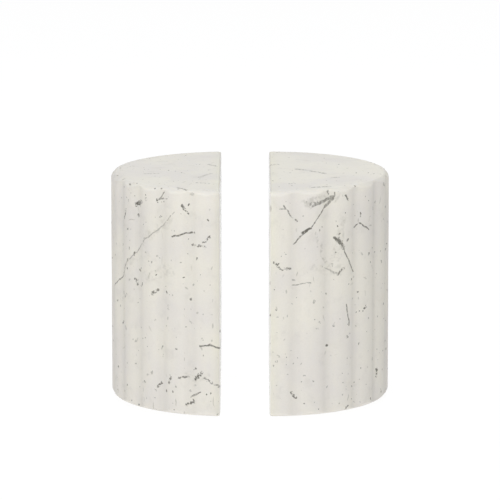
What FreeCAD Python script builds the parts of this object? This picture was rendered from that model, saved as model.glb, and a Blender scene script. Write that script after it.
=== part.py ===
import FreeCAD, Part
import math
import os

# A pair of stone book ends. Each is one half of a fluted drum, sawn from top to bottom a little
# off the drum's axis, so that the left half is thinner than the right one. The drum is turned
# with round rims first and its flutes are cut into it afterwards, so that they run out in the
# rims. They are cut by hand, a little wider on the right half. The sawn faces look at each other
# across the books, and their edges are only eased. Each half stands on four round rubber pads,
# and each pad is held to the stone by a disc of adhesive film.
#
# The frame is in millimetres, +Z up. X runs from the left book end to the right one and +Y to
# the back. The origin is on the shelf, under the middle of the pair's bounding box.

# Driving dimensions
DRUM_RADIUS = 63.5
STONE_HEIGHT = 121.2
VALLEY_COUNT = 10
VALLEY_DEPTH = 1.3
VALLEY_RADIUS = 9.0
RIM_RADIUS = 3.2
SAWN_EDGE_RADIUS = 1.4
BOOK_SPACE = 25.8

# The blank is this much larger than the crests of the flutes, so that the two never only touch,
# and the flutes are cut this far past both of its ends.
BLANK_ALLOWANCE = 0.02
CUT_OVERRUN = 1.0

PAD_DIAMETER = 12.0
PAD_THICKNESS = 1.2
PAD_EDGE_RADIUS = 0.3
FILM_DIAMETER = 11.4
FILM_THICKNESS = 0.3

# Each half, as seen from its own side: side is -1 for the left and +1 for the right. The half
# is what lies beyond saw_offset from the drum's axis. first_valley is the angle, in degrees
# round the axis from the front, of the valley nearest the front, and flute_pitch is the angle
# from each valley to the next.
HALVES = {
    "left": {"side": -1, "saw_offset": 4.4, "first_valley": 18.9, "flute_pitch": 15.6},
    "right": {"side": 1, "saw_offset": -0.95, "first_valley": 11.6, "flute_pitch": 17.0},
}

# Pad centres on each half: distance in from the sawn face, and distance from the middle plane.
PAD_PLACES = {
    "front_inner": (12.0, -44.0),
    "back_inner": (12.0, 44.0),
    "front_outer": (40.0, -24.0),
    "back_outer": (40.0, 24.0),
}

PARTS_FOLDER = "parts"

# Worked out from those
STONE_BASE = PAD_THICKNESS + FILM_THICKNESS


def polar(radius, degrees):
    """A point at that distance from the drum's axis, at an angle from the front towards +X."""
    angle = math.radians(degrees)
    return FreeCAD.Vector(radius * math.sin(angle), -radius * math.cos(angle), 0)


def flute_circles(flute_pitch):
    """Distances from the axis to the valley circle's centre and to the crest circle's centre,
    and the crest circle's radius, so that crests and valleys meet with one tangent."""
    valley_centre = DRUM_RADIUS - VALLEY_DEPTH + VALLEY_RADIUS
    outer = DRUM_RADIUS + VALLEY_RADIUS
    spread = math.cos(math.radians(flute_pitch / 2))
    crest_centre = (outer**2 - valley_centre**2) / (2 * (outer - valley_centre * spread))
    return valley_centre, crest_centre, DRUM_RADIUS - crest_centre


def on_line(start, end, distance):
    """The point at that distance from start towards end."""
    way = end - start
    return start + way * (distance / way.Length)


def arc(start, middle, end):
    return Part.Arc(start, middle, end).toShape()


def saw_corner(crest_middle, saw_offset, crest_radius, back):
    """The rounded corner between the sawn face and the crest arc about crest_middle. Returns its
    end on the sawn face, its middle and its end on the crest."""
    centre_x = saw_offset + SAWN_EDGE_RADIUS
    reach = crest_radius - SAWN_EDGE_RADIUS
    rise = math.sqrt(reach**2 - (centre_x - crest_middle.x) ** 2)
    centre = FreeCAD.Vector(centre_x, crest_middle.y + back * rise, 0)
    on_saw = FreeCAD.Vector(saw_offset, centre.y, 0)
    on_crest = on_line(crest_middle, centre, crest_radius)
    between = on_line(centre, (on_saw + on_crest) * 0.5, SAWN_EDGE_RADIUS)
    return on_saw, between, on_crest


def half_outline(saw_offset, first_valley, flute_pitch):
    """The closed outline of a half drum on the +X side, from the front corner round to the back."""
    valley_centre, crest_centre, crest_radius = flute_circles(flute_pitch)
    valleys = [first_valley + k * flute_pitch for k in range(VALLEY_COUNT)]

    front_crest = polar(crest_centre, valleys[0] - flute_pitch / 2)
    on_saw_front, between, edge_start = saw_corner(front_crest, saw_offset, crest_radius, -1)
    edges = [arc(on_saw_front, between, edge_start)]
    crest = front_crest
    for valley in valleys:
        valley_middle = polar(valley_centre, valley)
        next_crest = polar(crest_centre, valley + flute_pitch / 2)
        valley_start = on_line(crest, valley_middle, crest_radius)
        valley_end = on_line(next_crest, valley_middle, crest_radius)
        on_crest = on_line(crest, (edge_start + valley_start) * 0.5, crest_radius)
        edges.append(arc(edge_start, on_crest, valley_start))
        edges.append(arc(valley_start, polar(DRUM_RADIUS - VALLEY_DEPTH, valley), valley_end))
        edge_start = valley_end
        crest = next_crest

    on_saw_back, between, edge_end = saw_corner(crest, saw_offset, crest_radius, 1)
    edges.append(arc(edge_start, on_line(crest, (edge_start + edge_end) * 0.5, crest_radius), edge_end))
    edges.append(arc(edge_end, between, on_saw_back))
    edges.append(Part.LineSegment(on_saw_back, on_saw_front).toShape())
    return Part.Wire(edges)


def half_blank(saw_offset):
    """The half drum before its flutes are cut: turned with round rims, sawn, and eased all round
    the sawn face."""
    radius = DRUM_RADIUS + BLANK_ALLOWANCE
    face = saw_offset - BLANK_ALLOWANCE
    origin = FreeCAD.Vector(0, 0, 0)
    upwards = FreeCAD.Vector(0, 0, 1)
    drum = Part.makeCylinder(radius, STONE_HEIGHT)
    rims = [e for e in drum.Edges if e.Closed]
    drum = drum.makeFillet(RIM_RADIUS, rims)
    drum.rotate(origin, upwards, 180)
    waste_corner = FreeCAD.Vector(face - 2 * radius, -radius, 0)
    half = drum.cut(Part.makeBox(2 * radius, 2 * radius, STONE_HEIGHT, waste_corner))
    sawn_face = min(half.Faces, key=lambda f: f.CenterOfMass.x)
    return half.makeFillet(SAWN_EDGE_RADIUS, sawn_face.Edges)


def mirrored(shape):
    """The shape's mirror image through the plane X = 0."""
    return shape.mirror(FreeCAD.Vector(0, 0, 0), FreeCAD.Vector(1, 0, 0))


def stone_half(side, saw_offset, first_valley, flute_pitch):
    """A half drum about its own axis, with round rims and with its flutes cut into them."""
    outline = half_outline(saw_offset, first_valley, flute_pitch)
    outline.translate(FreeCAD.Vector(0, 0, -CUT_OVERRUN))
    fluted = Part.Face(outline).extrude(FreeCAD.Vector(0, 0, STONE_HEIGHT + 2 * CUT_OVERRUN))
    block = half_blank(saw_offset).common(fluted).Solids[0]
    if side < 0:
        block = mirrored(block)
    return block


def rubber_pad(x, y):
    """A pad on the shelf, with its lower edge rounded."""
    pad = Part.makeCylinder(PAD_DIAMETER / 2, PAD_THICKNESS, FreeCAD.Vector(x, y, 0))
    lower = [e for e in pad.Edges if e.BoundBox.ZMax < PAD_THICKNESS / 2]
    return pad.makeFillet(PAD_EDGE_RADIUS, lower)


def film_disc(x, y):
    """The adhesive film between a pad and the stone."""
    return Part.makeCylinder(FILM_DIAMETER / 2, FILM_THICKNESS, FreeCAD.Vector(x, y, PAD_THICKNESS))


def exact_box(shape):
    """The bounding box of the surfaces themselves, not of their control points."""
    return shape.optimalBoundingBox(False, False)


def build():
    """Every piece in its place: {node name: solid}."""
    stones = {name: stone_half(**half) for name, half in HALVES.items()}
    boxes = {name: exact_box(stone) for name, stone in stones.items()}
    span = boxes["left"].XLength + BOOK_SPACE + boxes["right"].XLength
    saw_faces = {
        "left": boxes["left"].XLength - span / 2,
        "right": span / 2 - boxes["right"].XLength,
    }
    front = min(box.YMin for box in boxes.values())
    back = max(box.YMax for box in boxes.values())
    axis_y = -(front + back) / 2

    nodes = {}
    for name, half in HALVES.items():
        side = half["side"]
        axis_x = saw_faces[name] - side * half["saw_offset"]
        stone = stones[name]
        stone.translate(FreeCAD.Vector(axis_x, axis_y, STONE_BASE))
        nodes[name + "_stone"] = stone
        for place, (inset, y) in PAD_PLACES.items():
            x = saw_faces[name] + side * inset
            nodes[name + "_pad_" + place] = rubber_pad(x, y)
            nodes[name + "_film_" + place] = film_disc(x, y)
    return nodes


def main():
    os.makedirs(PARTS_FOLDER, exist_ok=True)
    for name, shape in build().items():
        shape.exportStep(os.path.join(PARTS_FOLDER, name + ".step"))
        box = exact_box(shape)
        print(
            f"{name}: X {box.XMin:.2f} to {box.XMax:.2f}, Y {box.YMin:.2f} to {box.YMax:.2f},"
            f" Z {box.ZMin:.2f} to {box.ZMax:.2f}, {shape.Volume / 1000:.3f} cm3, valid {shape.isValid()}"
        )


main()
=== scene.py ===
import functools
import math

import bpy
import numpy as np
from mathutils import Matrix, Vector, noise


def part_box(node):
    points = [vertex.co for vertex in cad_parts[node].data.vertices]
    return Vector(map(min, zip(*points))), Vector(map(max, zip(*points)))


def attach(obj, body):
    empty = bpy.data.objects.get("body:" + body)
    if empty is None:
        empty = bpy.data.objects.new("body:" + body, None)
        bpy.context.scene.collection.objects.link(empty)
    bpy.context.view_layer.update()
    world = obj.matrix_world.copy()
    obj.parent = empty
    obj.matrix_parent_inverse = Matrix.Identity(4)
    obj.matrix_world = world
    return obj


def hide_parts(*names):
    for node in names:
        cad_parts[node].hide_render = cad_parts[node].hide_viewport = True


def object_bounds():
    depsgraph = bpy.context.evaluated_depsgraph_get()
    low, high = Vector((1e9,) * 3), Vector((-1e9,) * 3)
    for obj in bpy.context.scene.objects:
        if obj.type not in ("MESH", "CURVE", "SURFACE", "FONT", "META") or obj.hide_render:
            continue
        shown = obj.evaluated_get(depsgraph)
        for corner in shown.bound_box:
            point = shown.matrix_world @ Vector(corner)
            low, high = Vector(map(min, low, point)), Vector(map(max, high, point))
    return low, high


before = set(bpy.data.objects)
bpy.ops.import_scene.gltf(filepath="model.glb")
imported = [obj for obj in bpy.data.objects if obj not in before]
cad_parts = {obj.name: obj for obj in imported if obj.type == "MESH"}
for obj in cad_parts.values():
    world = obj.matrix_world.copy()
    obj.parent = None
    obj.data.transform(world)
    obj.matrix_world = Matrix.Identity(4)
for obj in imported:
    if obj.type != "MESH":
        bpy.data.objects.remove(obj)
cad_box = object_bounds()

# The stones' driving dimensions, in millimetres and degrees, as in the CAD. Each stone's place
# comes from its CAD node's box.
DRUM_RADIUS = 63.5
VALLEY_COUNT = 10
VALLEY_DEPTH = 1.3
VALLEY_RADIUS = 9.0
RIM_RADIUS = 3.2
SAWN_EDGE_RADIUS = 1.4
BLANK_ALLOWANCE = 0.02
HALVES = {
    "left": {"side": -1, "saw_offset": 4.4, "first_valley": 18.9, "flute_pitch": 15.6},
    "right": {"side": 1, "saw_offset": -0.95, "first_valley": 11.6, "flute_pitch": 17.0},
}

# How finely the stones are meshed
CREST_STEPS = 18
VALLEY_STEPS = 7
CORNER_STEPS = 6
FLAT_STEPS = 150
RIM_STEPS = 12
SIDE_STEPS = 100
CAP_STEPS = 22

# Wear of the stones, in millimetres: how soft the lips are where the flutes run out in the rims,
# how far the rest of it goes in, and how wide its waves are
LIP_SOFTNESS = 0.5
WAVE_DEPTH = 0.16
WAVE_WIDTH = 26.0
RIM_WEAR_DEPTH = 0.3
RIM_WEAR_WIDTH = 5.0

# The camera, in metres and degrees
CAMERA_PLACE = Vector((0.0, -2.5, 0.567))
CAMERA_PITCH = 11.037
CAMERA_LENS = 340.2

# The studio's lights: places and sizes in metres, powers in watts
KEY_LIGHT = {"place": (-0.52, -2.94, 1.1), "size": 1.4, "power": 32.6, "colour": (1, 1, 1)}
TOP_LIGHT = {"place": (0, 0, 2.8), "size": 1.5, "power": 49.3, "colour": (0.962, 0.981, 1)}
ROOM_STRENGTH = 0.29

# The floor, in metres: it lies a hair under the pads, so that the two never flicker
FLOOR_HALF_WIDTH = 12.0
FLOOR_HEIGHT = -0.00005
FLOOR_TONE = 0.12
FLOOR_GLOW = 0.91

# The marble's colours
CREAM = (0.815, 0.786, 0.712)
LILAC = (0.775, 0.745, 0.70)
# Painted light: the sawn face's colour is whiter, against the shade in the gap between the stones, on
# a cut face also taken to be paler
SAWN_PALE_AND_LIT = (0.90, 0.885, 0.845)
DARK_MINERAL = (0.155, 0.15, 0.128)
GREY_MINERAL = (0.37, 0.355, 0.305)
# Painted light: a yellow glow beside the saw cut, for light shining through the stone's thin edge
SAW_GLOW_TINT = (0.99, 1.0, 0.925)

# Painted shade and light: how much darker the marble's colour is made in the valleys and on the rims,
# and how much lighter high on the walls
VALLEY_SHADE_TONE = 0.965
RIM_SHADE_TONE = 0.925
UPPER_WALL_LIGHT_TONE = 1.03

# Kinds of mineral grains in the marble: how wide a cell each grain has, its radii, how common it
# is and where its own part of the noise lies, in millimetres
SPECKS = {"cell": 3.6, "radii": (1.0, 0.5, 0.4), "share": 0.6}
SPLINTERS = {"cell": 7.5, "radii": (2.0, 0.8, 0.5), "share": 0.45, "shift": (57.0, 31.0, 83.0)}
HAIRS = {"cell": 13.0, "radii": (4.6, 2.6, 0.28), "share": 0.7}
SMEARS = {"cell": 8.0, "radii": (3.0, 1.6, 0.7), "share": 0.6, "shift": (29.0, 71.0, 43.0)}
CHIPS = {"cell": 5.2, "radii": (1.9, 1.0, 0.8), "share": 1.3}
CHIPS_SHIFT = (91.0, 17.0, 39.0)
BOLD_GRAINS = {"cell": 14.0, "radii": (5.0, 1.0, 0.8), "share": 0.9}
HAIR_STRENGTH = 0.6
SMEAR_STRENGTH = 0.5

# The two stones are cut from the same noise this far apart, in millimetres
SEED_SHIFT = (211.0, 97.0, 153.0)

# The marks on the stones' backs are pushed about by up to half of this, in millimetres
BACK_DRIFT = 24.0

# Marks in the marble that anyone would know the two stones by. Each is a width in millimetres, a
# strength and a run of points (degrees round the drum from the front, millimetres up the stone).
# A line is one thin vein, flecks are a row of broken grains and a haze is a soft grey cloud. The
# points of the streaks on the top are in millimetres from the drum's axis: outwards from the saw
# cut, and to the back.
LEFT_MARKS = {
    "lines": [
        (0.45, 0.50, (27, 109), (36, 99), (45, 92), (51, 85), (60, 77)),
        (0.50, 0.80, (60, 77), (65, 69), (78, 60)),
        (0.55, 1.00, (28, 96), (18, 99)),
        (0.65, 0.95, (14, 38), (9, 39), (4, 37)),
        (0.50, 0.85, (19, 10), (14, 13)),
        (0.32, 0.45, (47, 15), (46, 4)),
        (0.50, 0.70, (33, 119), (36, 115), (31, 116)),
    ],
    "flecks": [
        (1.50, 1.00, (52, 110), (48, 112)),
        (0.90, 0.90, (62, 101), (60, 105)),
        (0.90, 0.95, (23, 113), (20, 109)),
        (0.80, 0.95, (12, 94), (9, 97)),
        (0.80, 0.80, (18, 92), (12, 92)),
        (0.90, 1.00, (53, 70), (51, 67)),
        (0.90, 0.95, (62, 58), (60, 60)),
        (1.10, 0.85, (40, 64), (37, 66)),
        (0.90, 0.90, (37, 14), (35, 16)),
        (0.90, 0.90, (30, 17), (29, 20)),
        (0.75, 0.80, (25, 20), (20, 21)),
        (1.20, 1.00, (16, 20), (13, 24)),
        (0.75, 0.75, (12, 21), (4, 16)),
        (1.20, 0.90, (21, 6), (17, 8)),
    ],
    "haze": [
        (3.5, 0.16, (30, 105), (46, 91)),
        (3.0, 0.16, (50, 84), (62, 73)),
        (4.0, 0.15, (44, 72), (30, 78)),
        (3.5, 0.18, (20, 21), (12, 22)),
    ],
    "top": [
        (1.2, 0.75, (27, -51), (22, -57)),
        (1.3, 0.55, (17, -36), (11, -38)),
        (1.4, 0.45, (16, -20), (10, -8)),
        (1.3, 0.50, (45, -9), (38, -8)),
        (1.4, 0.50, (11, 20), (7, 14)),
    ],
}
RIGHT_MARKS = {
    "lines": [
        (0.50, 0.80, (32, 119), (32, 117), (26, 111), (19, 101)),
        (1.10, 0.70, (31, 116), (27, 112)),
        (0.90, 0.75, (31, 117), (27, 115), (20, 113)),
        (0.85, 1.00, (19, 101), (15, 99)),
        (0.45, 0.85, (16, 99), (11, 93)),
        (0.40, 0.65, (4, 112), (7, 112)),
        (0.50, 0.80, (6, 114), (10, 107), (13, 105)),
        (0.55, 0.90, (45, 99), (48, 101), (52, 98), (55, 96)),
        (1.00, 0.95, (32, 95), (36, 91)),
        (0.50, 0.80, (36, 91), (38, 86), (44, 75)),
        (0.50, 0.45, (27, 79), (34, 75)),
        (0.40, 0.65, (10, 71), (19, 72)),
        (0.60, 0.85, (39, 58), (41, 47)),
        (0.60, 0.95, (38, 117), (40, 114)),
    ],
    "flecks": [
        (1.50, 0.80, (34, 94), (37, 89)),
        (1.20, 0.60, (26, 115), (19, 114)),
        (0.90, 0.90, (2, 83), (4, 80), (9, 80)),
        (0.80, 0.90, (49, 104), (49, 106)),
        (0.80, 0.95, (51, 53), (53, 55)),
        (1.00, 0.95, (10, 13), (12, 10)),
        (1.10, 1.00, (65, 18), (65, 14)),
        (1.10, 0.95, (77, 82), (76, 85)),
        (0.90, 0.80, (34, 75), (37, 78)),
        (0.80, 0.70, (71, 118), (75, 116)),
    ],
    "haze": [
        (4.0, 0.26, (31, 117), (18, 115)),
        (3.5, 0.20, (36, 103), (33, 84)),
        (3.5, 0.16, (22, 80), (36, 77)),
        (1.7, 0.42, (22, 99), (26, 86), (28, 80)),
    ],
    "top": [
        (1.4, 0.75, (14, 5), (19, 2), (29, -8)),
        (1.4, 0.65, (0, 18), (4, 20)),
        (1.4, 0.80, (10, -39), (12, -38)),
        (1.3, 0.75, (22, -50), (31, -47)),
        (1.3, 0.50, (33, -20), (36, -20)),
    ],
}

MM = 0.001


# The studio


def make_camera():
    data = bpy.data.cameras.new("camera")
    data.lens = CAMERA_LENS
    data.clip_start = 0.01
    data.clip_end = 100
    camera = bpy.data.objects.new("camera", data)
    camera.location = CAMERA_PLACE
    camera.rotation_euler = (math.radians(90 - CAMERA_PITCH), 0, 0)
    bpy.context.scene.collection.objects.link(camera)
    bpy.context.scene.camera = camera


def make_light(name, place, size, power, colour):
    """A square soft box that looks at the book ends."""
    data = bpy.data.lights.new(name, "AREA")
    data.color = colour
    data.shape = "SQUARE"
    data.size = size
    data.energy = power
    light = bpy.data.objects.new(name, data)
    light.location = place
    way = (cad_box[0] + cad_box[1]) / 2 - Vector(place)
    light.rotation_euler = way.to_track_quat("-Z", "Y").to_euler()
    bpy.context.scene.collection.objects.link(light)


def make_studio():
    world = bpy.data.worlds.new("studio")
    world.use_nodes = True
    background = world.node_tree.nodes["Background"]
    background.inputs["Color"].default_value = (1, 1, 1, 1)
    background.inputs["Strength"].default_value = ROOM_STRENGTH
    bpy.context.scene.world = world
    bpy.context.scene.view_settings.view_transform = "Standard"
    make_light("key", **KEY_LIGHT)
    make_light("top", **TOP_LIGHT)


def make_floor():
    """A white table that is lit from inside as well, as for a picture on plain white."""
    signs = ((-1, -1), (1, -1), (1, 1), (-1, 1))
    corners = [(x * FLOOR_HALF_WIDTH, y * FLOOR_HALF_WIDTH, FLOOR_HEIGHT) for x, y in signs]
    mesh = bpy.data.meshes.new("floor")
    mesh.from_pydata(corners, [], [(0, 1, 2, 3)])
    floor = bpy.data.objects.new("floor", mesh)
    bpy.context.scene.collection.objects.link(floor)
    material = bpy.data.materials.new("floor")
    material.use_nodes = True
    shader = material.node_tree.nodes["Principled BSDF"]
    shader.inputs["Base Color"].default_value = (FLOOR_TONE, FLOOR_TONE, FLOOR_TONE, 1)
    shader.inputs["Roughness"].default_value = 1.0
    shader.inputs["Specular IOR Level"].default_value = 0.0
    shader.inputs["Emission Color"].default_value = (1, 1, 1, 1)
    shader.inputs["Emission Strength"].default_value = FLOOR_GLOW
    mesh.materials.append(material)


# The stones' shape


def polar(radius, degrees):
    """A point at that distance from the drum's axis, at an angle from the front towards +X."""
    angle = math.radians(degrees)
    return np.array((radius * math.sin(angle), -radius * math.cos(angle)))


def towards(start, end, distance):
    return start + (end - start) * distance / np.linalg.norm(end - start)


def arc(centre, radius, start, end, steps, hollow=False):
    """Points from start to end on a circle, without the last one, and their outward normals."""
    first = math.atan2(*(start - centre)[::-1])
    last = math.atan2(*(end - centre)[::-1])
    sweep = (last - first + math.pi) % (2 * math.pi) - math.pi
    angles = first + sweep * np.arange(steps) / steps
    rays = np.stack([np.cos(angles), np.sin(angles)], 1)
    return centre + radius * rays, (-rays if hollow else rays)


def half_outline(saw_offset, first_valley, flute_pitch):
    """Points and outward normals round a half drum on the +X side, in millimetres from the
    drum's axis, from the front corner round the flutes to the back and along the sawn face."""
    valley_centre = DRUM_RADIUS - VALLEY_DEPTH + VALLEY_RADIUS
    outer = DRUM_RADIUS + VALLEY_RADIUS
    spread = math.cos(math.radians(flute_pitch / 2))
    crest_centre = (outer**2 - valley_centre**2) / (2 * (outer - valley_centre * spread))
    crest_radius = DRUM_RADIUS - crest_centre

    def corner(crest, back):
        """The corner circle's centre, its end on the saw cut and its end on the crest."""
        x = saw_offset + SAWN_EDGE_RADIUS
        rise = math.sqrt((crest_radius - SAWN_EDGE_RADIUS) ** 2 - (x - crest[0]) ** 2)
        centre = np.array((x, crest[1] + back * rise))
        return centre, np.array((saw_offset, centre[1])), towards(crest, centre, crest_radius)

    crest = polar(crest_centre, first_valley - flute_pitch / 2)
    centre, flat_front, here = corner(crest, -1)
    stretches = [arc(centre, SAWN_EDGE_RADIUS, flat_front, here, CORNER_STEPS)]
    for k in range(VALLEY_COUNT):
        valley = first_valley + k * flute_pitch
        middle = polar(valley_centre, valley)
        next_crest = polar(crest_centre, valley + flute_pitch / 2)
        into = towards(crest, middle, crest_radius)
        out = towards(next_crest, middle, crest_radius)
        stretches.append(arc(crest, crest_radius, here, into, CREST_STEPS))
        stretches.append(arc(middle, VALLEY_RADIUS, into, out, VALLEY_STEPS, hollow=True))
        here, crest = out, next_crest
    centre, flat_back, end = corner(crest, 1)
    stretches.append(arc(crest, crest_radius, here, end, CREST_STEPS))
    stretches.append(arc(centre, SAWN_EDGE_RADIUS, end, flat_back, CORNER_STEPS))
    share = np.arange(FLAT_STEPS)[:, None] / FLAT_STEPS
    flat = flat_back + (flat_front - flat_back) * share
    stretches.append((flat, np.tile((-1.0, 0.0), (FLAT_STEPS, 1))))
    points, normals = zip(*stretches)
    return np.concatenate(points), np.concatenate(normals)


def soft_maximum(first, second, softness):
    """The larger of two values, with the change from one to the other rounded off."""
    overlap = np.maximum(softness - abs(first - second), 0)
    return np.maximum(first, second) + overlap**2 / (4 * softness)


def turned_in(points, saw_offset, drum_inset, face_inset):
    """The outline's points, moved in wherever they lie outside the turned and sawn blank, at a
    height of its rim where its drum and its sawn face are that much farther in."""
    radii = np.linalg.norm(points, axis=1)
    past_drum = radii - (DRUM_RADIUS + BLANK_ALLOWANCE - drum_inset - SAWN_EDGE_RADIUS)
    past_face = saw_offset - BLANK_ALLOWANCE + face_inset + SAWN_EDGE_RADIUS - points[:, 0]
    outside = np.stack([np.maximum(past_drum, 0), np.maximum(past_face, 0)], 1)
    span = np.linalg.norm(outside, axis=1)
    weights = outside / np.maximum(span, 1e-9)[:, None]
    way = points / radii[:, None] * weights[:, :1] + np.array((-1.0, 0.0)) * weights[:, 1:]
    softness = min(LIP_SOFTNESS, drum_inset) + 1e-6
    return points - way * soft_maximum(0.0, span - SAWN_EDGE_RADIUS, softness)[:, None]


def rim_rings(points, saw_offset):
    """The rings of a rounded rim, from the side to the cap. Each is its points, how far it lies
    from the end of the stone, how much it faces outwards, and how near it is to the middle of
    the rim."""
    rings = []
    for turn in np.radians(np.linspace(0, 90, RIM_STEPS + 1)):
        drum_inset = RIM_RADIUS * (1 - math.cos(turn))
        lift = RIM_RADIUS * (1 - math.sin(turn))
        rise = max(SAWN_EDGE_RADIUS - lift, 0)
        face_inset = SAWN_EDGE_RADIUS - math.sqrt(SAWN_EDGE_RADIUS**2 - rise**2)
        ring = turned_in(points, saw_offset, drum_inset, face_inset)
        rings.append((ring, lift, math.cos(turn), math.sin(2 * turn)))
    return rings


def wear(point, rim):
    """How far the worn surface lies inside the perfect one. rim is 1 on the rounded rims."""
    wave = 0.5 + 0.5 * noise.noise(Vector(point) / WAVE_WIDTH)
    chip = max(0.0, noise.noise(Vector(point) / RIM_WEAR_WIDTH))
    return WAVE_DEPTH * wave + RIM_WEAR_DEPTH * chip * rim


def stone_mesh(name, low, high, side, saw_offset, **flutes):
    """The stone as a closed skin of rings: up the lower cap, the side and the upper cap. Also
    returns the place of the drum's axis."""
    points, normals = half_outline(saw_offset, **flutes)
    axis = low[:2] / MM - (points * (side, 1)).min(0)
    bottom, top = low[2] / MM, high[2] / MM

    rim = rim_rings(points, saw_offset)
    cap_edge = rim[-1][0]
    middle = (cap_edge.min(0) + cap_edge.max(0)) / 2
    shares = np.arange(1, CAP_STEPS) / CAP_STEPS
    caps = [middle + (cap_edge - middle) * share for share in shares]
    heights = np.linspace(bottom + RIM_RADIUS, top - RIM_RADIUS, SIDE_STEPS + 1)[1:-1]
    rings = [(cap, bottom, 0.0, 0.0) for cap in caps]
    rings += [(ring, bottom + lift, lean, bend) for ring, lift, lean, bend in reversed(rim)]
    rings += [(rim[0][0], height, 1.0, 0.0) for height in heights]
    rings += [(ring, top - lift, lean, bend) for ring, lift, lean, bend in rim]
    rings += [(cap, top, 0.0, 0.0) for cap in reversed(caps)]

    vertices = []
    for ring, z, lean, bend in rings:
        for (x, y), normal in zip(ring, normals):
            inward = lean * wear((side * x + axis[0], y + axis[1], z), bend)
            vertices.append((x - normal[0] * inward, y - normal[1] * inward, z))
    vertices += [(*middle, bottom), (*middle, top)]
    vertices = (np.array(vertices) * (side, 1, 1) + (*axis, 0)) * MM
    count = len(points)
    here = np.arange(count)
    onward = (here + 1) % count
    faces = []
    for row in range(0, (len(rings) - 1) * count, count):
        quads = [row + here, row + onward, row + count + onward, row + count + here]
        faces += np.column_stack(quads).tolist()
    last = (len(rings) - 1) * count
    faces += np.column_stack([onward, here, np.full(count, last + count)]).tolist()
    faces += np.column_stack([last + here, last + onward, np.full(count, last + count + 1)]).tolist()
    if side < 0:
        faces = [face[::-1] for face in faces]
    mesh = bpy.data.meshes.new(name)
    mesh.from_pydata(vertices.tolist(), [], faces)
    mesh.shade_smooth()
    return mesh, axis


# The materials


class Nodes:
    """Adds shader nodes to a material. Each input takes a plain value or another node's output."""

    def __init__(self, tree):
        self.tree = tree

    def feed(self, socket, value):
        if isinstance(value, bpy.types.NodeSocket):
            self.tree.links.new(value, socket)
        else:
            socket.default_value = value

    def add(self, kind, inputs=None, **settings):
        node = self.tree.nodes.new("ShaderNode" + kind)
        for name, value in settings.items():
            setattr(node, name, value)
        for name, value in (inputs or {}).items():
            self.feed(node.inputs[name], value)
        return node

    def math(self, operation, *values):
        return self.add("Math", dict(enumerate(values)), operation=operation).outputs[0]

    def product(self, *values):
        return functools.reduce(lambda one, other: self.math("MULTIPLY", one, other), values)

    def largest(self, *values):
        return functools.reduce(lambda one, other: self.math("MAXIMUM", one, other), values)

    def rest(self, share):
        return self.math("SUBTRACT", 1.0, share)

    def vector(self, operation, *values):
        node = self.add("VectorMath", dict(enumerate(values)), operation=operation)
        return node.outputs["Value" if operation in ("LENGTH", "DISTANCE", "DOT_PRODUCT") else 0]

    def scaled(self, vector, factor):
        return self.add("VectorMath", {0: vector, "Scale": factor}, operation="SCALE").outputs[0]

    def parts(self, vector):
        return self.add("SeparateXYZ", {0: vector}).outputs

    def joined(self, x, y, z):
        return self.add("CombineXYZ", {0: x, 1: y, 2: z}).outputs[0]

    def ramp(self, value, start, end, low=0.0, high=1.0):
        """Smoothly from low at start to high at end, and level beyond them."""
        inputs = {0: value, 1: start, 2: end, 3: low, 4: high}
        return self.add("MapRange", inputs, interpolation_type="SMOOTHSTEP").outputs[0]

    def chosen(self, share, first, second):
        """The first number where the share is 0 and the second where it is 1."""
        return self.add("Mix", {0: share, 2: first, 3: second}, data_type="FLOAT").outputs[0]

    def mix(self, share, first, second):
        """The first colour where the share is 0 and the second where it is 1."""
        inputs = {0: share, 6: first, 7: second}
        return self.add("Mix", inputs, data_type="RGBA").outputs[2]

    def noise(self, place, width, detail=2.0, roughness=0.5):
        """Soft noise from 0 to 1 whose lumps are about width apart."""
        inputs = {"Vector": place, "Scale": 1 / width, "Detail": detail, "Roughness": roughness}
        return self.add("TexNoise", inputs)

    def warped(self, place, distance, width):
        """The place, pushed about by up to distance in lumps of that width."""
        push = self.noise(place, width, 1.0).outputs["Color"]
        push = self.vector("SUBTRACT", push, (0.5, 0.5, 0.5))
        return self.vector("ADD", place, self.scaled(push, 2 * distance))


def rgba(colour):
    return (*colour, 1.0)


def new_material(name):
    """A material, its nodes and its main shader."""
    material = bpy.data.materials.new(name)
    material.use_nodes = True
    return material, Nodes(material.node_tree), material.node_tree.nodes["Principled BSDF"]


def grains(nodes, place, cell, radii, share, shift=None):
    """Mineral grains: a slim ellipsoid in some cells of the stone, each turned its own way and
    more of them where the stone is dirtier. 0 is clean stone and 1 the middle of a grain."""
    if shift:
        place = nodes.vector("ADD", place, shift)
    ragged = nodes.scaled(nodes.warped(place, 0.3, 1.3), 1 / cell)
    cells = nodes.add("TexVoronoi", {"Vector": ragged, "Scale": 1.0, "Randomness": 0.85})
    chance = cells.outputs["Color"]
    centre = cells.outputs["Position"]
    again = nodes.parts(nodes.vector("FRACTION", nodes.scaled(chance, 13.7)))
    turn = nodes.add(
        "VectorRotate",
        {
            "Vector": nodes.vector("SUBTRACT", ragged, centre),
            "Rotation": nodes.scaled(chance, 2 * math.pi),
        },
        rotation_type="EULER_XYZ",
    )
    reach = nodes.vector("LENGTH", nodes.vector("DIVIDE", turn.outputs[0], [r / cell for r in radii]))
    size = nodes.ramp(again[1], 0.0, 1.0, 0.45, 1.0)
    grain = nodes.ramp(nodes.math("DIVIDE", reach, size), 1.0, 0.55)
    dirt = nodes.noise(centre, 24 / cell, 2.0).outputs["Fac"]
    wanted = nodes.ramp(dirt, 0.36, 0.62, 0.3 * share, 1.5 * share)
    present = nodes.math("LESS_THAN", again[0], wanted)
    strength = nodes.ramp(again[2], 0.0, 1.0, 0.35, 1.0)
    return nodes.product(grain, present, strength)


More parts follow.
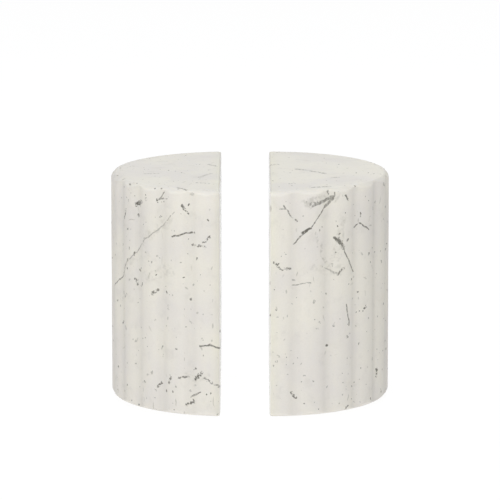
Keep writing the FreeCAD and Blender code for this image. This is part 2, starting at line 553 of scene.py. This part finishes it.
def stroke_group():
    """A node group that adds one straight stroke to a mask."""
    tree = bpy.data.node_groups.new("stroke", "ShaderNodeTree")
    sockets = {
        "Point": "NodeSocketVector",
        "Start": "NodeSocketVector",
        "Way": "NodeSocketVector",
        "Inverse": "NodeSocketFloat",
        "Width": "NodeSocketFloat",
        "Strength": "NodeSocketFloat",
        "Mask": "NodeSocketFloat",
    }
    for name, kind in sockets.items():
        tree.interface.new_socket(name, in_out="INPUT", socket_type=kind)
    tree.interface.new_socket("Mask", in_out="OUTPUT", socket_type="NodeSocketFloat")
    nodes = Nodes(tree)
    given = tree.nodes.new("NodeGroupInput").outputs
    arm = nodes.vector("SUBTRACT", given["Point"], given["Start"])
    share = nodes.math("MULTIPLY", nodes.vector("DOT_PRODUCT", arm, given["Way"]), given["Inverse"])
    share = nodes.math("MINIMUM", nodes.math("MAXIMUM", share, 0.0), 1.0)
    distance = nodes.vector("DISTANCE", arm, nodes.scaled(given["Way"], share))
    stroke = nodes.ramp(distance, given["Width"], nodes.math("MULTIPLY", given["Width"], 0.5))
    stroke = nodes.math("MULTIPLY", stroke, given["Strength"])
    out = tree.nodes.new("NodeGroupOutput")
    nodes.feed(out.inputs["Mask"], nodes.math("MAXIMUM", stroke, given["Mask"]))
    return tree


STROKE = stroke_group()


def strokes(nodes, point, marks, unit):
    """The mask of a list of marks at a point of their plane, in millimetres. The marks' first
    coordinates are in that unit."""
    mask = 0.0
    for width, strength, *run in marks:
        places = [Vector((across * unit, along, 0)) for across, along in run]
        for start, end in zip(places, places[1:]):
            way = end - start
            inputs = {
                "Point": point,
                "Start": start,
                "Way": way,
                "Inverse": 1 / way.length_squared,
                "Width": width,
                "Strength": strength,
                "Mask": mask,
            }
            node = nodes.add("Group", node_tree=STROKE)
            for name, value in inputs.items():
                nodes.feed(node.inputs[name], value)
            mask = node.outputs[0]
    return mask


class Spot:
    """Where the shaded point lies in its stone, as node outputs in millimetres and radians, and
    which way it faces."""

    def __init__(self, nodes, axis, bottom, stone_height, side, seed):
        coordinates = nodes.add("TexCoord").outputs
        here = nodes.scaled(coordinates["Object"], 1 / MM)
        self.stone = nodes.vector("ADD", here, [seed * shift for shift in SEED_SHIFT])

        # From the drum's axis to the outer side, to the back, and up from the underside
        drum = nodes.vector("MULTIPLY", nodes.vector("SUBTRACT", here, (*axis, bottom)), (side, 1, 1))
        self.across, self.along, self.height = nodes.parts(drum)
        self.depth = nodes.math("SUBTRACT", stone_height, self.height)
        self.radius = nodes.vector("LENGTH", nodes.joined(self.across, self.along, 0.0))
        self.angle = nodes.math("ARCTAN2", self.across, nodes.math("MULTIPLY", self.along, -1.0))

        # -1 on the sawn face; and 1 on level surfaces, whichever way up, with 0 on the walls
        facing = nodes.parts(coordinates["Normal"])
        self.outwards = nodes.math("MULTIPLY", facing[0], side)
        self.slope = nodes.math("ABSOLUTE", facing[2])

        # 1 on the fluted wall with its rims, on every wall and on the top, and 0 elsewhere
        self.skin = nodes.ramp(self.radius, DRUM_RADIUS - 6.0, DRUM_RADIUS - 3.5)
        self.upright = nodes.ramp(self.slope, 0.7, 0.3)
        self.on_top = nodes.ramp(facing[2], 0.3, 0.7)


def clean_stone(nodes, spot, saw_offset):
    """The colour of the marble without its minerals: cream and lilac clouds, soft blotches and
    crystal glitter, with painted light as a yellow glow beside the saw cut, on the whiter sawn face
    and high on the walls, and painted shade in the valleys and on the rims."""
    cloud = nodes.noise(nodes.warped(spot.stone, 9.0, 30.0), 34.0, 3.0, 0.55).outputs["Fac"]
    colour = nodes.mix(nodes.ramp(cloud, 0.36, 0.64), rgba(CREAM), rgba(LILAC))
    # Painted light: the colour turns yellower beside the saw cut, as a glow of light through the thin
    # edge
    painted_saw_glow = nodes.ramp(spot.across, saw_offset + 7.0, saw_offset, 0.0, 0.55)
    colour = nodes.mix(painted_saw_glow, colour, nodes.vector("MULTIPLY", colour, SAW_GLOW_TINT))
    # Painted light: the sawn face is made whiter, which lifts the shade in the gap between the
    # stones; the polished cut face is also taken to be paler
    colour = nodes.mix(nodes.ramp(spot.outwards, -0.3, -0.9), colour, rgba(SAWN_PALE_AND_LIT))

    blotch = nodes.noise(nodes.warped(spot.stone, 3.0, 9.0), 8.0, 3.0, 0.6).outputs["Fac"]
    crystal = nodes.noise(spot.stone, 0.9, 2.0, 0.7).outputs["Fac"]
    # Painted shade: the colour is made darker down in the flutes' valleys
    valley_shade = nodes.product(
        nodes.ramp(spot.radius, DRUM_RADIUS - 2.8, DRUM_RADIUS - 1.4),
        nodes.ramp(spot.radius, DRUM_RADIUS - 0.25, DRUM_RADIUS - VALLEY_DEPTH),
        spot.upright,
    )
    # Painted shade: the rounded rims are made darker, which tones down the highlight they catch
    rim_shade = nodes.product(nodes.ramp(spot.slope, 0.45, 0.85), nodes.ramp(spot.slope, 0.999, 0.95))
    # Painted light: the walls are made paler towards their top, over the last 18 mm below the top
    upper_wall_light = nodes.product(nodes.ramp(spot.depth, 18.0, RIM_RADIUS), spot.upright)
    tone = nodes.product(
        nodes.ramp(blotch, 0.52, 0.75, 1.0, 0.94),
        nodes.ramp(crystal, 0.3, 0.7, 0.985, 1.012),
        nodes.ramp(valley_shade, 0.0, 1.0, 1.0, VALLEY_SHADE_TONE),
        nodes.ramp(rim_shade, 0.0, 1.0, 1.0, RIM_SHADE_TONE),
        nodes.ramp(upper_wall_light, 0.0, 1.0, 1.0, UPPER_WALL_LIGHT_TONE),
    )
    return nodes.scaled(colour, tone)


def own_marks(nodes, spot, marks, texture):
    """The masks of the stone's own marks: its veins and flecks, its haze and its top streaks.
    Behind, the same marks as in front stand upside down and pushed about."""
    behind = nodes.math("GREATER_THAN", spot.angle, math.pi / 2)
    round_drum = nodes.product(nodes.math("PINGPONG", spot.angle, math.pi / 2), DRUM_RADIUS)
    unrolled = nodes.joined(round_drum, nodes.chosen(behind, spot.height, spot.depth), 0.0)
    drift = nodes.noise(spot.stone, 22.0, 1.0).outputs["Color"]
    drift = nodes.vector("SUBTRACT", drift, (0.5, 0.5, 0.5))
    drift = nodes.vector("MULTIPLY", drift, (BACK_DRIFT, BACK_DRIFT, 0.0))
    unrolled = nodes.vector("ADD", unrolled, nodes.scaled(drift, behind))

    degree = math.radians(1) * DRUM_RADIUS
    bent = nodes.warped(nodes.warped(unrolled, 0.8, 4.0), 0.25, 1.0)
    lines = strokes(nodes, bent, marks["lines"], degree)
    lines = nodes.product(lines, nodes.ramp(texture, 0.34, 0.54, 0.5, 1.0))
    flecks = strokes(nodes, nodes.warped(unrolled, 0.9, 1.6), marks["flecks"], degree)
    flecks = nodes.product(flecks, nodes.ramp(texture, 0.41, 0.54))
    haze = strokes(nodes, nodes.warped(unrolled, 3.2, 6.0), marks["haze"], degree)
    smoke = nodes.noise(spot.stone, 2.6, 3.0, 0.65).outputs["Fac"]
    haze = nodes.product(haze, nodes.ramp(smoke, 0.42, 0.66, 0.1, 1.5))
    flat = nodes.warped(nodes.joined(spot.across, spot.along, 0.0), 0.9, 1.6)
    streaks = nodes.product(strokes(nodes, flat, marks["top"], 1.0), spot.on_top)
    streaks = nodes.product(streaks, nodes.ramp(texture, 0.41, 0.54, 0.0, 0.85))
    return nodes.largest(lines, flecks), haze, streaks


def minerals(nodes, spot, marks):
    """How much pale grey mineral the point holds, and how much dark mineral."""
    stone = spot.stone
    texture = nodes.noise(stone, 1.1, 2.0, 0.6).outputs["Fac"]
    veins, haze, streaks = own_marks(nodes, spot, marks, texture)

    chips = nodes.warped(nodes.vector("ADD", stone, CHIPS_SHIFT), 0.7, 1.6)
    chips = nodes.product(grains(nodes, chips, **CHIPS), nodes.ramp(texture, 0.38, 0.5))
    bold = grains(nodes, nodes.warped(stone, 0.9, 1.6), **BOLD_GRAINS)
    inside = nodes.product(nodes.rest(spot.skin), nodes.rest(spot.on_top))
    dark = nodes.largest(
        nodes.product(nodes.largest(veins, chips), spot.skin),
        nodes.product(bold, inside),
        streaks,
        grains(nodes, stone, **SPECKS),
        grains(nodes, stone, **SPLINTERS),
    )

    bent = nodes.warped(stone, 1.6, 8.0)
    pale = nodes.largest(
        nodes.product(haze, spot.skin),
        nodes.product(grains(nodes, bent, **HAIRS), HAIR_STRENGTH),
        nodes.product(grains(nodes, bent, **SMEARS), SMEAR_STRENGTH),
    )
    return pale, dark


def finish_stone(nodes, spot, shader, dark):
    """The stone's surface: honed all over, and polished on the face that meets the books."""
    book_face = nodes.ramp(spot.outwards, -0.9, -0.99)
    polish = nodes.noise(spot.stone, 12.0, 3.0).outputs["Fac"]
    honed = nodes.math("ADD", nodes.ramp(polish, 0.3, 0.7, 0.56, 0.66), nodes.product(dark, 0.1))
    polished = nodes.ramp(polish, 0.3, 0.7, 0.12, 0.18)
    nodes.feed(shader.inputs["Roughness"], nodes.chosen(book_face, honed, polished))
    shader.inputs["Specular IOR Level"].default_value = 0.25
    shader.inputs["Subsurface Weight"].default_value = 0.1
    shader.inputs["Subsurface Radius"].default_value = (1.0, 0.9, 0.7)
    shader.inputs["Subsurface Scale"].default_value = 0.002

    grit = nodes.product(nodes.noise(spot.stone, 0.55, 2.0, 0.6).outputs["Fac"], 0.012)
    hand = nodes.product(nodes.noise(spot.stone, 7.0, 2.0).outputs["Fac"], 0.10)
    relief = nodes.math("SUBTRACT", nodes.math("ADD", grit, hand), nodes.product(dark, 0.03))
    relief = nodes.product(relief, nodes.ramp(book_face, 0.0, 1.0, 1.0, 0.04))
    bump = nodes.add("Bump", {"Height": relief, "Distance": MM, "Strength": 0.8})
    nodes.feed(shader.inputs["Normal"], bump.outputs[0])


def marble(name, axis, bottom, stone_height, side, saw_offset, marks, seed):
    """Honed white marble with its own clouds, grains, veins and marks."""
    material, nodes, shader = new_material(name)
    spot = Spot(nodes, axis, bottom, stone_height, side, seed)
    pale, dark = minerals(nodes, spot, marks)
    colour = clean_stone(nodes, spot, saw_offset)
    colour = nodes.mix(pale, colour, rgba(GREY_MINERAL))
    colour = nodes.mix(dark, colour, rgba(DARK_MINERAL))
    nodes.feed(shader.inputs["Base Color"], colour)
    finish_stone(nodes, spot, shader, dark)
    return material


def rubber():
    """Black moulded rubber with a fine pebbled skin and a little dust."""
    material, nodes, shader = new_material("pad_rubber")
    here = nodes.scaled(nodes.add("TexCoord").outputs["Object"], 1 / MM)
    dust = nodes.ramp(nodes.noise(here, 2.2, 3.0, 0.6).outputs["Fac"], 0.45, 0.75, 0.0, 0.5)
    colour = nodes.mix(dust, rgba((0.028, 0.028, 0.029)), rgba((0.085, 0.082, 0.078)))
    nodes.feed(shader.inputs["Base Color"], colour)
    nodes.feed(shader.inputs["Roughness"], nodes.ramp(dust, 0.0, 0.5, 0.62, 0.88))
    shader.inputs["Specular IOR Level"].default_value = 0.35
    pebbles = nodes.add("TexVoronoi", {"Vector": here, "Scale": 2.6}).outputs["Distance"]
    bump = nodes.add("Bump", {"Height": pebbles, "Distance": 0.03 * MM, "Strength": 1.0})
    nodes.feed(shader.inputs["Normal"], bump.outputs[0])
    return material


def adhesive():
    """Milky acrylic adhesive film with small trapped bubbles."""
    material, nodes, shader = new_material("adhesive_film")
    here = nodes.scaled(nodes.add("TexCoord").outputs["Object"], 1 / MM)
    flow = nodes.noise(here, 1.8, 2.0).outputs["Fac"]
    colour = nodes.mix(flow, rgba((0.72, 0.70, 0.62)), rgba((0.82, 0.81, 0.76)))
    bubbles = nodes.add("TexVoronoi", {"Vector": here, "Scale": 1.5}).outputs["Distance"]
    bubble = nodes.ramp(bubbles, 0.16, 0.08, 0.0, 0.7)
    nodes.feed(shader.inputs["Base Color"], nodes.mix(bubble, colour, rgba((0.9, 0.9, 0.87))))
    nodes.feed(shader.inputs["Roughness"], nodes.ramp(flow, 0.3, 0.7, 0.28, 0.42))
    shader.inputs["Subsurface Weight"].default_value = 0.3
    shader.inputs["Subsurface Scale"].default_value = 0.0005
    bump = nodes.add("Bump", {"Height": flow, "Distance": 0.05 * MM, "Strength": 1.0})
    nodes.feed(shader.inputs["Normal"], bump.outputs[0])
    return material


# The book ends


def make_stone(half, marks, seed):
    node = half + "_stone"
    facts = HALVES[half]
    low, high = (np.array(corner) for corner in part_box(node))
    mesh, axis = stone_mesh(node + "_carved", low, high, **facts)
    bottom = low[2] / MM
    mesh.materials.append(
        marble(
            "marble_" + half,
            axis,
            bottom,
            high[2] / MM - bottom,
            facts["side"],
            facts["saw_offset"],
            marks,
            seed,
        )
    )
    stone = bpy.data.objects.new(node + "_carved", mesh)
    bpy.context.scene.collection.objects.link(stone)
    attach(stone, half + "_bookend")
    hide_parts(node)


def finish_pads():
    """The pads and films keep their CAD shapes and get their own materials."""
    finishes = {"_pad_": rubber(), "_film_": adhesive()}
    for name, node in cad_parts.items():
        for word, material in finishes.items():
            if word in name:
                for slot in node.material_slots:
                    slot.material = material


make_camera()
make_studio()
make_floor()
make_stone("left", LEFT_MARKS, 1)
make_stone("right", RIGHT_MARKS, 2)
finish_pads()
